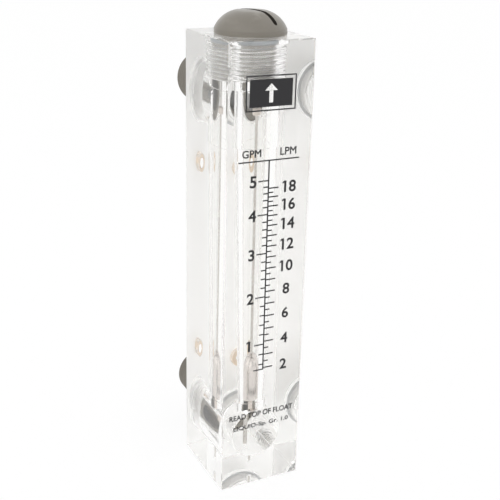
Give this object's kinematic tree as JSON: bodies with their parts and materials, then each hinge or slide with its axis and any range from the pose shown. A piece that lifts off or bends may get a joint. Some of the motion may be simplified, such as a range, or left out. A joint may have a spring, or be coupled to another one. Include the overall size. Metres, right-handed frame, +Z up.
{
  "type": "rotameter",
  "caption": "Panel-mounted variable-area flow meter: clear block with a tapered bore, guided float, screwed top plug, rear pipe stubs and a printed flow scale.",
  "frame": {"origin": "middle of the clear block's base", "axes": "+Z up along the metering bore, +Y out of the back face towards the panel, the scale on the -Y face, +X to the reader's right"},
  "size_m": [0.035, 0.0666, 0.1907],
  "materials": {
    "acrylic": "polished clear cast acrylic",
    "grey_plastic": "moulded ABS, satin",
    "seal_rubber": "pale silicone rubber",
    "stainless": "drawn and polished",
    "float_steel": "fine turned",
    "spacer_plastic": "natural nylon",
    "insert_brass": "turned",
    "scale_ink": "screen-printed ink"
  },
  "bodies": {
    "meter": {"block": "acrylic", "top_plug": "grey_plastic", "top_plug_seal": "seal_rubber", "guide_rod": "stainless", "lower_spacer": "spacer_plastic", "upper_stop": "spacer_plastic", "scale_lines": "scale_ink", "scale_figures": "scale_ink", "flow_badge": "scale_ink", "inlet_adapter": "grey_plastic", "inlet_seal": "seal_rubber", "outlet_adapter": "grey_plastic", "outlet_seal": "seal_rubber", "lower_panel_insert": "insert_brass", "upper_panel_insert": "insert_brass"},
    "float": {"float": "float_steel"}
  },
  "joints": [
    {"name": "float_slide", "type": "slide", "parent": "meter", "child": "float", "axis": [0, 0, 1], "range_m": [0, 0.0991]}
  ]
}
